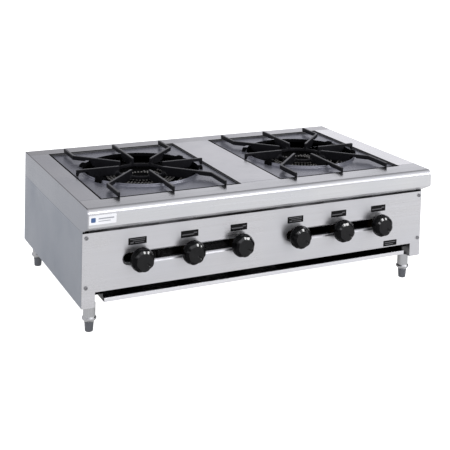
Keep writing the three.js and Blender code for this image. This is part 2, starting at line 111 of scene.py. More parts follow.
class Soup:
    """Collects closed bodies of one piece, in drawing millimetres."""

    def __init__(self):
        self.v, self.f, self.k = [], [], []

    def add(self, verts, faces, k=0):
        n = len(self.v)
        self.v += [Vector(p) for p in verts]
        self.f += [tuple(n + i for i in f) for f in faces]
        self.k += [k] * len(faces)

    def build(self, name, materials, angle=32.0):
        return make(name, [D(*p) for p in self.v], self.f, materials, self.k, angle)


def ring_faces(rows, n, closed_rows=False):
    """Quads between consecutive rings of n points; ring i starts at i * n."""
    out = []
    last = rows if closed_rows else rows - 1
    for i in range(last):
        a, b = i * n, ((i + 1) % rows) * n
        for j in range(n):
            k = (j + 1) % n
            out.append((a + j, a + k, b + k, b + j))
    return out


def lathe(profile, cx, cy, cz, axis, n, shape=None):
    """Closed body of revolution. profile lists (radius, height); its two ends are on the axis, or it closes on itself."""
    open_ends = profile[0][0] < 1e-6 and profile[-1][0] < 1e-6
    verts, faces = [], []

    def place(r, h, a):
        c, s = r * math.cos(a), r * math.sin(a)
        return (cx + c, cy + s, h) if axis == "Z" else (cx + c, h, cz + s)

    ring = profile[1:-1] if open_ends else profile
    for r, h in ring:
        for j in range(n):
            a = 2 * math.pi * j / n
            rr, hh = shape(r, h, a) if shape else (r, h)
            verts.append(place(rr, hh, a))
    faces += ring_faces(len(ring), n, closed_rows=not open_ends)
    if open_ends:
        for end, row, turn in ((profile[0], 0, 0), (profile[-1], len(ring) - 1, 1)):
            hh = shape(0.0, end[1], 0.0)[1] if shape else end[1]
            verts.append(place(0.0, hh, 0.0))
            c = len(verts) - 1
            for j in range(n):
                k = (j + 1) % n
                f = (c, row * n + k, row * n + j)
                faces.append(f if not turn else f[::-1])
    return verts, faces


def fillet(points, radii, steps=6):
    """An open line of (a, b) points with its inner corners rounded."""
    out = [Vector(points[0])]
    for i in range(1, len(points) - 1):
        p, a, b = Vector(points[i]), Vector(points[i - 1]), Vector(points[i + 1])
        r = radii[i]
        if r <= 0:
            out.append(p)
            continue
        u, w = (a - p).normalized(), (b - p).normalized()
        half = u.angle(w) / 2
        t = min(r / math.tan(half), (a - p).length * 0.49, (b - p).length * 0.49)
        r = t * math.tan(half)
        c = p + (u + w).normalized() * (r / math.sin(half))
        s, e = p + u * t - c, p + w * t - c
        for k in range(steps + 1):
            v = s.lerp(e, k / steps)
            out.append(c + v.normalized() * r)
    out.append(Vector(points[-1]))
    return out


def offset(line, t):
    out = []
    for i, p in enumerate(line):
        d0 = (p - line[i - 1]).normalized() if i > 0 else None
        d1 = (line[i + 1] - p).normalized() if i < len(line) - 1 else None
        n0 = Vector((d0.y, -d0.x)) if d0 else None
        n1 = Vector((d1.y, -d1.x)) if d1 else None
        if n0 is None:
            out.append(p + n1 * t)
        elif n1 is None:
            out.append(p + n0 * t)
        else:
            m = (n0 + n1).normalized()
            out.append(p + m * (t / max(0.3, m.dot(n1))))
    return out


def extrude_x(section, x0, x1, cuts=1):
    """Prism of a closed (y, z) section along X."""
    n = len(section)
    verts, faces = [], []
    for i in range(cuts + 1):
        x = x0 + (x1 - x0) * i / cuts
        verts += [(x, p[0], p[1]) for p in section]
    faces += ring_faces(cuts + 1, n)
    faces += [tuple(range(n)), tuple(range(cuts * n, cuts * n + n))[::-1]]
    return verts, faces


def slab(origin, ux, uy, un, w, h, t, r, lift=0.0, steps=5):
    """A thin plate with round corners: centre origin, axes ux and uy, thickness t along un."""
    loop = []
    for cx, cy, a0 in ((w / 2 - r, h / 2 - r, 0), (-w / 2 + r, h / 2 - r, 90), (-w / 2 + r, -h / 2 + r, 180), (w / 2 - r, -h / 2 + r, 270)):
        for k in range(steps + 1):
            a = math.radians(a0 + 90 * k / steps)
            loop.append((cx + r * math.cos(a), cy + r * math.sin(a)))
    n = len(loop)
    o, ux, uy, un = Vector(origin), Vector(ux), Vector(uy), Vector(un)
    edge = min(t * 0.4, r * 0.5)
    verts = []
    for s, z in ((0.0, 0.0), (0.0, t - edge), (edge, t)):
        for a, b in loop:
            f = 1 - s / max(1e-6, math.hypot(a, b))
            verts.append(o + ux * a * f + uy * b * f + un * (lift + z))
    faces = ring_faces(3, n) + [tuple(range(n))[::-1], tuple(range(2 * n, 3 * n))]
    return verts, faces


def apply_modifiers(o):
    """Replaces o's mesh by its evaluated one."""
    dg = bpy.context.evaluated_depsgraph_get()
    dg.update()
    me = bpy.data.meshes.new_from_object(o.evaluated_get(dg), depsgraph=dg)
    old = o.data
    o.modifiers.clear()
    o.data = me
    bpy.data.meshes.remove(old)
    return o


# ------------------------------------------------------------------ materials
class Nodes:
    """Small helper for building node trees."""

    def __init__(self, name):
        self.mat = bpy.data.materials.new(name)
        self.mat.use_nodes = True
        self.t = self.mat.node_tree
        self.t.nodes.clear()
        self.out = self.t.nodes.new("ShaderNodeOutputMaterial")
        self.bsdf = self.t.nodes.new("ShaderNodeBsdfPrincipled")
        self.t.links.new(self.bsdf.outputs[0], self.out.inputs[0])
        self.coord = self.t.nodes.new("ShaderNodeTexCoord").outputs["Object"]

    def link(self, a, b):
        self.t.links.new(a, b)

    def noise(self, scale, detail=3.0, rough=0.5, stretch=None, distort=0.0):
        src = self.coord
        if stretch:
            m = self.t.nodes.new("ShaderNodeMapping")
            m.inputs["Scale"].default_value = stretch
            self.link(src, m.inputs["Vector"])
            src = m.outputs["Vector"]
        n = self.t.nodes.new("ShaderNodeTexNoise")
        n.inputs["Scale"].default_value = scale
        n.inputs["Detail"].default_value = detail
        n.inputs["Roughness"].default_value = rough
        n.inputs["Distortion"].default_value = distort
        self.link(src, n.inputs["Vector"])
        return n.outputs["Fac"]

    def ramp(self, src, lo, hi, a=0.0, b=1.0):
        """Maps src from lo..hi to a..b, clamped."""
        n = self.t.nodes.new("ShaderNodeMapRange")
        n.inputs["From Min"].default_value = lo
        n.inputs["From Max"].default_value = hi
        n.inputs["To Min"].default_value = a
        n.inputs["To Max"].default_value = b
        self.link(src, n.inputs["Value"])
        return n.outputs["Result"]

    def math(self, op, a, b=None, c=None):
        n = self.t.nodes.new("ShaderNodeMath")
        n.operation = op
        for k, v in enumerate((a, b, c)):
            if v is None:
                continue
            if isinstance(v, (int, float)):
                n.inputs[k].default_value = v
            else:
                self.link(v, n.inputs[k])
        return n.outputs[0]

    def mix(self, fac, a, b):
        n = self.t.nodes.new("ShaderNodeMix")
        n.data_type = "RGBA"
        if isinstance(fac, (int, float)):
            n.inputs["Factor"].default_value = fac
        else:
            self.link(fac, n.inputs["Factor"])
        for key, v in (("A", a), ("B", b)):
            s = [i for i in n.inputs if i.name == key and i.type == "RGBA"][0]
            if isinstance(v, (tuple, list)):
                s.default_value = (*v[:3], 1.0)
            else:
                self.link(v, s)
        return [o for o in n.outputs if o.type == "RGBA"][0]

    def edge(self, radius=0.0008, samples=4):
        """0 on flat faces, 1 on sharp convex or concave edges."""
        b = self.t.nodes.new("ShaderNodeBevel")
        b.samples = samples
        b.inputs["Radius"].default_value = radius
        g = self.t.nodes.new("ShaderNodeNewGeometry")
        d = self.t.nodes.new("ShaderNodeVectorMath")
        d.operation = "DOT_PRODUCT"
        self.link(b.outputs["Normal"], d.inputs[0])
        self.link(g.outputs["Normal"], d.inputs[1])
        return self.ramp(d.outputs["Value"], 0.995, 0.85)

    def bump(self, height, distance, strength=1.0, normal=None):
        n = self.t.nodes.new("ShaderNodeBump")
        n.inputs["Distance"].default_value = distance
        n.inputs["Strength"].default_value = strength
        self.link(height, n.inputs["Height"])
        if normal is not None:
            self.link(normal, n.inputs["Normal"])
        return n.outputs["Normal"]


def recess_shade_mask(n):
    """Mask of painted shade: the walls of the two recesses, and a dark line along the folded edge on their near and
    left sides.
    """
    pos = n.t.nodes.new("ShaderNodeSeparateXYZ")
    n.link(n.coord, pos.inputs[0])
    g = n.t.nodes.new("ShaderNodeNewGeometry")
    nor = n.t.nodes.new("ShaderNodeSeparateXYZ")
    n.link(g.outputs["Normal"], nor.inputs[0])

    def band(axis, a, b):
        o = ORIGIN.x if axis == "X" else ORIGIN.y
        e = 0.00015
        return n.math("MULTIPLY", n.ramp(pos.outputs[axis], o + a * MM - e, o + a * MM + e), n.ramp(pos.outputs[axis], o + b * MM + e, o + b * MM - e))

    upper = n.ramp(pos.outputs["Z"], 0.2885, 0.2895)
    steep = n.ramp(n.math("ABSOLUTE", nor.outputs["Z"]), 0.75, 0.5, 0.0, 1.0)
    out = None
    for side in ("left", "right"):
        lo, hi = node_box(f"{side}_top_plate")
        walls = n.math("MULTIPLY", n.math("MULTIPLY", band("X", lo.x - 2.2, hi.x + 2.2), band("Y", lo.y - 2.2, hi.y + 2.2)), steep)
        walls = n.math("MULTIPLY", walls, n.ramp(pos.outputs["Z"], 0.2966, 0.2974, 0.75, 1.0))
        near = n.math("MULTIPLY", band("X", lo.x - 2.6, hi.x + 1.0), band("Y", lo.y - 8.0, lo.y + 1.0))
        left = n.math("MULTIPLY", band("X", lo.x - 5.4, lo.x + 1.0), band("Y", lo.y - 8.0, hi.y + 1.0))
        one = n.math("MAXIMUM", walls, n.math("MAXIMUM", near, left))
        out = one if out is None else n.math("MAXIMUM", out, one)
    return n.math("MULTIPLY", out, upper)


def painted_interior_shade(n):
    """Mask of everything within the sheet shell of the body: it is painted near-black as shade."""
    pos = n.t.nodes.new("ShaderNodeSeparateXYZ")
    n.link(n.coord, pos.inputs[0])
    out = n.ramp(pos.outputs["Z"], 0.2885, 0.2875)
    for axis, o, a, b in (("X", ORIGIN.x, 1.0, 913.0), ("Y", ORIGIN.y, 1.0, 495.0)):
        e = 0.0002
        out = n.math("MULTIPLY", out, n.ramp(pos.outputs[axis], o + a * MM - e, o + a * MM + e))
        out = n.math("MULTIPLY", out, n.ramp(pos.outputs[axis], o + b * MM + e, o + b * MM - e))
    return out


def steel(name, colour, rough, grain, contrast=0.06, smudge=0.07, bump=0.00003, edge_gain=0.35, metallic=1.0, tint=(0.98, 1.0, 1.03), side=1.0, top=1.0, inside=None, stretch=0.0, fold=False, lateral=1.0, shade_inside=False, under=1.0):
    """Brushed sheet steel. grain is the direction of the brushing: X, Y or Z."""
    n = Nodes(name)
    fine = {"X": (5, 700, 700), "Y": (700, 5, 700), "Z": (700, 700, 5)}[grain]
    coarse = {"X": (1.2, 90, 90), "Y": (90, 1.2, 90), "Z": (90, 90, 1.2)}[grain]
    hair = n.noise(1.0, 2.0, 0.6, stretch=fine)
    streak = n.noise(1.0, 3.0, 0.55, stretch=coarse)
    cloud = n.noise(5.5, 4.0, 0.55, distort=0.4)
    blot = n.noise(23.0, 3.0, 0.6)
    lines = n.math("ADD", n.math("MULTIPLY", hair, 0.55), n.math("MULTIPLY", streak, 0.45))
    dark = tuple(c * (1 - contrast) * (2 - t) ** 0.5 for c, t in zip(colour, tint))
    light = tuple(min(1.0, c * (1 + contrast)) for c in colour)
    body = n.mix(n.ramp(lines, 0.32, 0.68), dark, light)
    hazy = n.mix(n.ramp(cloud, 0.35, 0.7, 0.0, 0.5), body, tuple(c * 0.93 * t for c, t in zip(colour, tint)))
    # lighter edges: partly rubbed bare, partly a painted highlight where the edges catch the light
    edge_wear_and_sheen = n.edge()
    worn_and_shaded = n.mix(n.math("MULTIPLY", edge_wear_and_sheen, edge_gain), hazy, tuple(min(1.0, c * 1.3 + 0.06) for c in colour))
    if side < 1.0:
        pos = n.t.nodes.new("ShaderNodeSeparateXYZ")
        n.link(n.coord, pos.inputs[0])
        # painted shade: a near-black line along the top of the left side, at the bend of the sheet
        brink = n.math("MULTIPLY", n.ramp(pos.outputs["Z"], 0.2978, 0.2981), n.ramp(pos.outputs["X"], ORIGIN.x + 2.0 * MM, ORIGIN.x + 1.6 * MM))
        # painted shade: the outer side of the sheet is made darker and slightly bluish
        g = n.t.nodes.new("ShaderNodeNewGeometry")
        sep = n.t.nodes.new("ShaderNodeSeparateXYZ")
        n.link(g.outputs["Normal"], sep.inputs[0])
        worn_and_shaded = n.mix(n.ramp(sep.outputs["X"], -0.35, -0.8), worn_and_shaded, tuple(c * side * k for c, k in zip(colour, (0.96, 1.0, 1.07))))
        worn_and_shaded = n.mix(n.math("MULTIPLY", brink, 0.75), worn_and_shaded, (0.02, 0.02, 0.02))
    # painted shade: upward faces made a little darker, by the factor top
    if top < 1.0:
        g = n.t.nodes.new("ShaderNodeNewGeometry")
        sep = n.t.nodes.new("ShaderNodeSeparateXYZ")
        n.link(g.outputs["Normal"], sep.inputs[0])
        worn_and_shaded = n.mix(n.ramp(sep.outputs["Z"], 0.93, 0.99), worn_and_shaded, tuple(c * top for c in colour))
    # painted shade: faces turned to the sides made darker, by the factor lateral
    if lateral < 1.0:
        g = n.t.nodes.new("ShaderNodeNewGeometry")
        sep = n.t.nodes.new("ShaderNodeSeparateXYZ")
        n.link(g.outputs["Normal"], sep.inputs[0])
        worn_and_shaded = n.mix(n.ramp(n.math("ABSOLUTE", sep.outputs["X"]), 0.7, 0.9), worn_and_shaded, tuple(c * lateral for c in colour))
    # painted shade: downward faces made darker, by the factor under
    if under != 1.0:
        g = n.t.nodes.new("ShaderNodeNewGeometry")
        sep = n.t.nodes.new("ShaderNodeSeparateXYZ")
        n.link(g.outputs["Normal"], sep.inputs[0])
        worn_and_shaded = n.mix(n.ramp(sep.outputs["Z"], -0.5, -0.8), worn_and_shaded, tuple(min(1.0, c * under) for c in colour))
    # painted shade: near-black without shine in the recesses, on the body's inner faces and on the tray's outer sides
    painted_shade_mask = None
    if fold:
        painted_shade_mask = recess_shade_mask(n)
    if shade_inside:
        painted_shade_mask = n.math("MAXIMUM", painted_shade_mask, painted_interior_shade(n)) if fold else painted_interior_shade(n)
    if lateral < 0.1:
        # painted shade: the outer sides of the tray are made dark
        g = n.t.nodes.new("ShaderNodeNewGeometry")
        sep = n.t.nodes.new("ShaderNodeSeparateXYZ")
        n.link(g.outputs["Normal"], sep.inputs[0])
        painted_shade_mask = n.ramp(n.math("ABSOLUTE", sep.outputs["X"]), 0.7, 0.9, 0.0, 0.6)
    if painted_shade_mask is not None:
        worn_and_shaded = n.mix(painted_shade_mask, worn_and_shaded, (0.006, 0.006, 0.006))
    if inside is not None:
        # painted shade: near-black behind the given depth of the drawing
        sep = n.t.nodes.new("ShaderNodeSeparateXYZ")
        n.link(n.coord, sep.inputs[0])
        depth = n.ramp(sep.outputs["Y"], ORIGIN.y + inside * MM, ORIGIN.y + (inside + 4) * MM)
        worn_and_shaded = n.mix(depth, worn_and_shaded, (0.004, 0.004, 0.004))
    n.link(worn_and_shaded, n.bsdf.inputs["Base Color"])
    n.bsdf.inputs["Metallic"].default_value = metallic
    if painted_shade_mask is not None:
        n.link(n.ramp(painted_shade_mask, 0.0, 1.0, metallic, 0.0), n.bsdf.inputs["Metallic"])
        n.link(n.ramp(painted_shade_mask, 0.0, 1.0, 0.5, 0.0), n.bsdf.inputs["Specular IOR Level"])
    r = n.math("ADD", n.ramp(lines, 0.3, 0.7, rough - 0.04, rough + 0.05), n.ramp(cloud, 0.35, 0.75, -smudge * 0.4, smudge))
    r = n.math("ADD", r, n.ramp(blot, 0.55, 0.75, 0.0, smudge * 0.5))
    r = n.math("SUBTRACT", r, n.math("MULTIPLY", edge_wear_and_sheen, 0.06))
    n.link(r, n.bsdf.inputs["Roughness"])
    h = n.math("ADD", n.math("MULTIPLY", hair, 0.7), n.math("MULTIPLY", blot, 0.3))
    n.link(n.bump(h, bump), n.bsdf.inputs["Normal"])
    # brushing spreads reflections across the grain
    if stretch:
        n.bsdf.inputs["Anisotropic"].default_value = stretch
        g = n.t.nodes.new("ShaderNodeNewGeometry")
        x = n.t.nodes.new("ShaderNodeVectorMath")
        x.operation = "CROSS_PRODUCT"
        n.link(g.outputs["Normal"], x.inputs[0])
        x.inputs[1].default_value = {"X": (1, 0, 0), "Y": (0, 1, 0), "Z": (0, 0, 1)}[grain]
        n.link(x.outputs[0], n.bsdf.inputs["Tangent"])
    return n.mat


def cast_iron(name, colour, rough, grit=0.00025, top=0.5, scale=520.0, lit=True, crest=None):
    """Sand-cast iron: grains, shallow lumps, and upper faces and edges made lighter, partly rubbed bare and partly a
    painted highlight.
    """
    n = Nodes(name)
    sand = n.noise(scale, 3.0, 0.65)
    lump = n.noise(95.0, 3.0, 0.5)
    cloud = n.noise(14.0, 4.0, 0.6, distort=0.3)
    edge_wear_and_sheen = n.math("MULTIPLY", n.edge(0.0016), n.ramp(lump, 0.3, 0.65, 0.35, 1.0))
    g = n.t.nodes.new("ShaderNodeNewGeometry")
    sep = n.t.nodes.new("ShaderNodeSeparateXYZ")
    n.link(g.outputs["Normal"], sep.inputs[0])
    up = n.ramp(sep.outputs["Z"], 0.5, 0.98)
    if crest:
        # only the very top is lightened: partly rubbed by the pots, partly a painted highlight
        pos = n.t.nodes.new("ShaderNodeSeparateXYZ")
        n.link(n.coord, pos.inputs[0])
        high = n.ramp(pos.outputs["Z"], crest - 0.004, crest - 0.001)
        up, edge_wear_and_sheen = n.math("MULTIPLY", up, high), n.math("MULTIPLY", edge_wear_and_sheen, high)
    body = n.mix(n.ramp(cloud, 0.35, 0.7), tuple(c * 0.72 for c in colour), tuple(c * 1.3 for c in colour))
    body = n.mix(n.math("MULTIPLY", n.ramp(sand, 0.45, 0.75), 0.35), body, tuple(c * 2.0 + 0.01 for c in colour))
    # painted highlight, partly rubbed bare metal: upward faces and edges lighter
    body = n.mix(n.math("MULTIPLY", up, top * 0.9), body, (0.17, 0.17, 0.178))
    body = n.mix(n.math("MULTIPLY", edge_wear_and_sheen, top), body, (0.2, 0.2, 0.205))
    n.link(body, n.bsdf.inputs["Base Color"])
    n.link(n.math("MULTIPLY", edge_wear_and_sheen, 0.5 if lit else 0.0), n.bsdf.inputs["Metallic"])
    r = n.math("ADD", n.ramp(sand, 0.3, 0.7, rough - 0.07, rough + 0.09), n.ramp(cloud, 0.3, 0.75, -0.05, 0.08))
    r = n.math("SUBTRACT", r, n.math("MULTIPLY", up, 0.1))
    n.link(r, n.bsdf.inputs["Roughness"])
    n.link(n.ramp(up, 0.0, 1.0, 0.14 if lit else 0.0, 0.45 if lit else 0.0), n.bsdf.inputs["Specular IOR Level"])
    b1 = n.bump(lump, grit * 1.6)
    n.link(n.bump(sand, grit, normal=b1), n.bsdf.inputs["Normal"])
    return n.mat


def plastic(name, colour, rough, coat=0.0, bump=0.00004):
    """Moulded phenolic plastic: gloss, faint flow marks, fine scratches, and slightly lighter edges, partly rubbed and
    partly a painted sheen.
    """
    n = Nodes(name)
    flow = n.noise(60.0, 4.0, 0.5, distort=0.8)
    fine = n.noise(700.0, 2.0, 0.6)
    hair = n.noise(1.0, 2.0, 0.6, stretch=(90, 90, 1500))
    edge_wear_and_sheen = n.edge(0.0004)
    body = n.mix(n.ramp(flow, 0.35, 0.7), tuple(c * 0.8 for c in colour), tuple(c * 1.35 + 0.001 for c in colour))
    body = n.mix(n.math("MULTIPLY", edge_wear_and_sheen, 0.15), body, tuple(c * 2.0 + 0.01 for c in colour))
    n.link(body, n.bsdf.inputs["Base Color"])
    r = n.math("ADD", n.ramp(flow, 0.3, 0.7, rough - 0.02, rough + 0.05), n.ramp(hair, 0.6, 0.8, 0.0, 0.08))
    n.link(r, n.bsdf.inputs["Roughness"])
    g = n.t.nodes.new("ShaderNodeNewGeometry")
    sep = n.t.nodes.new("ShaderNodeSeparateXYZ")
    n.link(g.outputs["Normal"], sep.inputs[0])
    bevel = n.math("MULTIPLY", n.ramp(sep.outputs["Z"], 0.25, 0.45, 0.0, 0.5), n.ramp(sep.outputs["Y"], -0.45, -0.6))
    n.link(n.math("ADD", n.ramp(sep.outputs["Y"], -0.985, -0.9, 0.25, 0.06), bevel), n.bsdf.inputs["Specular IOR Level"])
    n.bsdf.inputs["Coat Weight"].default_value = coat
    n.bsdf.inputs["Coat Roughness"].default_value = 0.05
    h = n.math("ADD", n.math("MULTIPLY", flow, 0.6), n.math("MULTIPLY", fine, 0.4))
    n.link(n.bump(h, bump), n.bsdf.inputs["Normal"])
    return n.mat


def film(name, colour, rough=0.35, gloss=0.5):
    """Printed film: slight mottling and an orange-peel surface."""
    n = Nodes(name)
    a = n.noise(140.0, 3.0, 0.55)
    b = n.noise(18.0, 3.0, 0.5)
    n.link(n.mix(n.ramp(b, 0.3, 0.7), tuple(c * 0.93 for c in colour), tuple(min(1, c * 1.05) for c in colour)), n.bsdf.inputs["Base Color"])
    n.link(n.ramp(a, 0.3, 0.7, rough - 0.05, rough + 0.08), n.bsdf.inputs["Roughness"])
    n.bsdf.inputs["Specular IOR Level"].default_value = gloss
    n.link(n.bump(a, 0.00003), n.bsdf.inputs["Normal"])
    return n.mat


M = {
    # painted shade: the panel's faces turned to the sides are darker
    "panel_steel": steel("panel_steel", (0.61, 0.61, 0.624), 0.28, "X", edge_gain=0.2, stretch=0.7, lateral=0.3),
    # painted shade: the front rail's top and underside a little darker, and the edges of the recesses near-black
    "rail_steel": steel("rail_steel", (0.66, 0.665, 0.675), 0.2, "X", edge_gain=0.1, top=0.98, fold="front", under=0.8),
    # painted shade: the rear rail's copy of the steel is darker than the front rail's; its recess walls and inner faces
    # are near-black
    "rail_steel_rear_shaded": steel("rail_steel_rear_shaded", (0.52, 0.52, 0.53), 0.2, "X", edge_gain=0.1, fold="rear", shade_inside=True),
    # painted light: the right rail's copy of the steel is lighter than the front rail's; its side-facing faces, recess
    # walls and inner faces are painted shade
    "rail_steel_right_lit": steel("rail_steel_right_lit", (0.95, 0.95, 0.965), 0.2, "Y", edge_gain=0.1, fold="right", shade_inside=True, lateral=0.55),
    # painted shade: the centre rail's recess walls and inner faces are near-black
    "rail_steel_y": steel("rail_steel_y", (0.66, 0.66, 0.675), 0.2, "Y", edge_gain=0.1, fold="both", shade_inside=True),
    # painted shade: the left rail's copy of the steel is a little darker, its outer side much darker, its recess walls
    # and inner faces near-black
    "rail_steel_left_shaded": steel("rail_steel_left_shaded", (0.60, 0.605, 0.63), 0.2, "Y", edge_gain=0.1, side=0.48, fold="left", shade_inside=True),
    # painted shade: the base channels are near-black, standing in for the shadow under the body
    "channel_steel_shaded": steel("channel_steel_shaded", (0.035, 0.036, 0.038), 0.5, "Y", edge_gain=0.05),
    # painted shade: the side panels' steel is darker and bluer than the front panel's, and its inner faces are
    # near-black
    "side_steel": steel("side_steel", (0.295, 0.318, 0.358), 0.34, "Z", contrast=0.05, smudge=0.09, edge_gain=0.15, shade_inside=True),
    "plate_steel": steel("plate_steel", (0.215, 0.220, 0.255), 0.27, "X", contrast=0.10, smudge=0.08, edge_gain=0.15, metallic=0.5),
    # painted shade: the tray is near-black behind its front face, and on its outer sides
    "tray_steel": steel("tray_steel", (0.80, 0.80, 0.82), 0.24, "X", inside=1.0, lateral=0.05),
    "grate_iron": cast_iron("grate_iron", (0.0066, 0.0066, 0.0085), 0.45, top=0.5, crest=0.3105),
    # painted shade: the plates' collars, their lugs and the hole's lower rim are near-black with no shine, where the
    # burner pits lie in shadow
    "collar_shade": cast_iron("collar_shade", (0.004, 0.004, 0.0045), 0.5, top=0.0, lit=False),
    # a dark band along the edges of the plates
    "plate_border_dark": cast_iron("plate_border_dark", (0.02, 0.02, 0.021), 0.6, grit=0.0001, top=0.0, lit=False),
    "burner_iron": cast_iron("burner_iron", (0.005, 0.005, 0.0053), 0.6, top=0.0, lit=False),
    "port_metal": cast_iron("port_metal", (0.17, 0.165, 0.155), 0.4, grit=0.0001, top=0.5, scale=900.0, lit=False),
    "knob_plastic": plastic("knob_plastic", (0.0025, 0.0025, 0.0028), 0.07),
    # near-black brass: partly oxide, partly painted shade of the body's inside
    "valve_brass": steel("valve_brass", (0.05, 0.037, 0.018), 0.5, "Y", tint=(1, 1, 1), edge_gain=0.05),
    "pilot_tube": steel("pilot_tube", (0.09, 0.09, 0.09), 0.4, "Z", edge_gain=0.1),
    "gas_pipe": cast_iron("gas_pipe", (0.02, 0.02, 0.021), 0.55, grit=0.0001, top=0.1),
    "leg_metal": steel("leg_metal", (0.46, 0.465, 0.47), 0.27, "Z", contrast=0.05),
    "foot_metal": steel("foot_metal", (0.15, 0.156, 0.17), 0.34, "Z", contrast=0.08, smudge=0.12),
    "screw_steel": steel("screw_steel", (0.26, 0.26, 0.27), 0.28, "X", edge_gain=0.6),
    "label_film": film("label_film", (0.003, 0.003, 0.0033), 0.3, 0.12),
    "label_ink": film("label_ink", (0.11, 0.11, 0.115), 0.4, 0.2),
    "blank_plate": film("blank_plate", (0.86, 0.87, 0.885), 0.3),
    "blank_ink": film("blank_ink", (0.05, 0.11, 0.26), 0.4),
    "blank_grey": film("blank_grey", (0.36, 0.37, 0.40), 0.4),
}


# ------------------------------------------------------------------ shading of the CAD nodes that stay
def clean_group():
    g = bpy.data.node_groups.new("clean_shading", "GeometryNodeTree")
    g.interface.new_socket("Geometry", in_out="INPUT", socket_type="NodeSocketGeometry")
    g.interface.new_socket("Geometry", in_out="OUTPUT", socket_type="NodeSocketGeometry")
    a, z = g.nodes.new("NodeGroupInput"), g.nodes.new("NodeGroupOutput")
    merge = g.nodes.new("GeometryNodeMergeByDistance")
    merge.inputs["Distance"].default_value = 1e-5
    plain = g.nodes.new("GeometryNodeRemoveAttribute")
    plain.inputs["Name"].default_value = "custom_normal"
    smooth = g.nodes.new("GeometryNodeSetShadeSmooth")
    angle = g.nodes.new("GeometryNodeInputMeshEdgeAngle")
    wide = g.nodes.new("FunctionNodeCompare")
    wide.data_type, wide.operation = "FLOAT", "GREATER_THAN"
    wide.inputs["B"].default_value = math.radians(34)
    sharp = g.nodes.new("GeometryNodeSetShadeSmooth")
    sharp.domain = "EDGE"
    sharp.inputs["Shade Smooth"].default_value = False
    g.links.new(a.outputs[0], merge.inputs[0])
    g.links.new(merge.outputs[0], plain.inputs[0])
    g.links.new(plain.outputs[0], smooth.inputs[0])
    g.links.new(smooth.outputs[0], sharp.inputs[0])
    g.links.new(angle.outputs[0], wide.inputs["A"])
    g.links.new(wide.outputs[0], sharp.inputs["Selection"])
    g.links.new(sharp.outputs[0], z.inputs[0])
    return g


CLEAN = clean_group()


def keep(node, material, bevel=0.35):
    """A CAD node that stays: it gets a material, merged vertices and a small bevel on its edges."""
    o = frame["nodes"][node]
    if not o.material_slots:
        o.data.materials.append(material)
    for s in o.material_slots:
        s.link = "OBJECT"
        s.material = material
    m = o.modifiers.new("clean", "NODES")
    m.node_group = CLEAN
    if bevel:
        d = o.modifiers.new("flat", "DECIMATE")
        d.decimate_type = "DISSOLVE"
        d.angle_limit = math.radians(0.4)
        b = o.modifiers.new("bevel", "BEVEL")
        b.width = bevel * MM
        b.segments = 2
        b.limit_method = "ANGLE"
        b.angle_limit = math.radians(38)
        b.use_clamp_overlap = True
        b.harden_normals = True
    return o


SLOTS = {s["node"]: s["material_slot"] for s in frame["record"]["subparts"]}


# ------------------------------------------------------------------ knobs
def smooth(a, b, t):
    t = max(0.0, min(1.0, (t - a) / (b - a)))
    return t * t * (3 - 2 * t)


def knob(i):
    lo, hi = node_box(f"knob_{i}")
    cx, cz = (lo.x + hi.x) / 2, (lo.z + hi.z) / 2
    turn = [0.30, -0.10, 0.22, 0.05, -0.3, 0.45][i - 1]
    flutes = 8
    point = math.radians(-40)
    face = [(k * 0.88, -36.0 + 0.45 * smooth(12, 2, k * 0.88)) for k in range(20)]
    side = [tuple(p) for p in fillet([(17.6, -36), (19.2, -36), (24.4, -32.2), (27.0, -27.4), (27.8, -21.4), (27.8, -16.6), (21.9, -13.8), (20.6, -4.4), (20.0, -4)], [0, 0.8, 1.4, 1.6, 0.8, 0.9, 2.4, 0.4, 0], 6)]
    mid = []
    for a, b in zip(side, side[1:]):
        steps = max(1, int(math.hypot(b[0] - a[0], b[1] - a[1]) / 1.0))
        mid += [(a[0] + (b[0] - a[0]) * k / steps, a[1] + (b[1] - a[1]) * k / steps) for k in range(steps)]
    rear = [(20.0, -4), (19.2, -4), (18.8, -5), (18.6, -20), (17.6, -27), (9.0, -27), (7.8, -26), (7.4, -5.2), (6.9, -4.6), (4.9, -4.6), (4.35, -5.2), (4.35, -21.5), (0, -21.5)]
    profile = face + mid + rear

    def shape(r, h, a):
        on_side = min(27.0, 19.8 + (h + 36) * 0.82)
        if h > -35 and r < on_side - 2.2:
            return r, h
        if h > -20.5:
            return r, h
        grip = smooth(-21.0, -26.5, h) * smooth(16.5, 20.5, r)
        wave = (0.5 - 0.5 * math.cos(flutes * (a - turn))) ** 1.5
        rr = r - 1.35 * grip * wave
        hh = h
        if h < -33:
            u = r * math.cos(a - point)
            w = r * math.sin(a - point)
            groove = smooth(6.4, 7.6, u) * smooth(17.9, 16.9, u) * smooth(1.9, 1.0, abs(w))
            hh = h + 1.3 * groove
        return rr, hh

    s = Soup()
    s.add(*lathe(profile, cx, 0, cz, "Y", 144, shape))
    o = s.build(f"knob_{i}_moulded", [M["knob_plastic"]], 40)
    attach(o, f"knob_{i}")
    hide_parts(f"knob_{i}")
    return cx, cz


KNOBS = [knob(i) for i in range(1, 7)]


# ------------------------------------------------------------------ grates
def prism(profile, thick, angle, cx, cy, along="radial", x=0.0, draft=0.5):
    """A vertical plate: profile in (distance, z), thickness centred on its plane, thinner towards the bottom."""
    lo = min(p[1] for p in profile)
    hi = max(p[1] for p in profile)
    verts = []
    for s in (-1, 1):
        for d, z in profile:
            t = thick / 2 - draft * (hi - z) / max(1.0, hi - lo)
            if along == "radial":
                c, q = math.cos(angle), math.sin(angle)
                verts.append((cx + d * c - s * t * q, cy + d * q + s * t * c, z))
            else:
                verts.append((x + s * t, d, z))
    n = len(profile)
    faces = [(j, (j + 1) % n, n + (j + 1) % n, n + j) for j in range(n)]
    faces += [tuple(range(n))[::-1], tuple(range(n, 2 * n))]
    return verts, faces


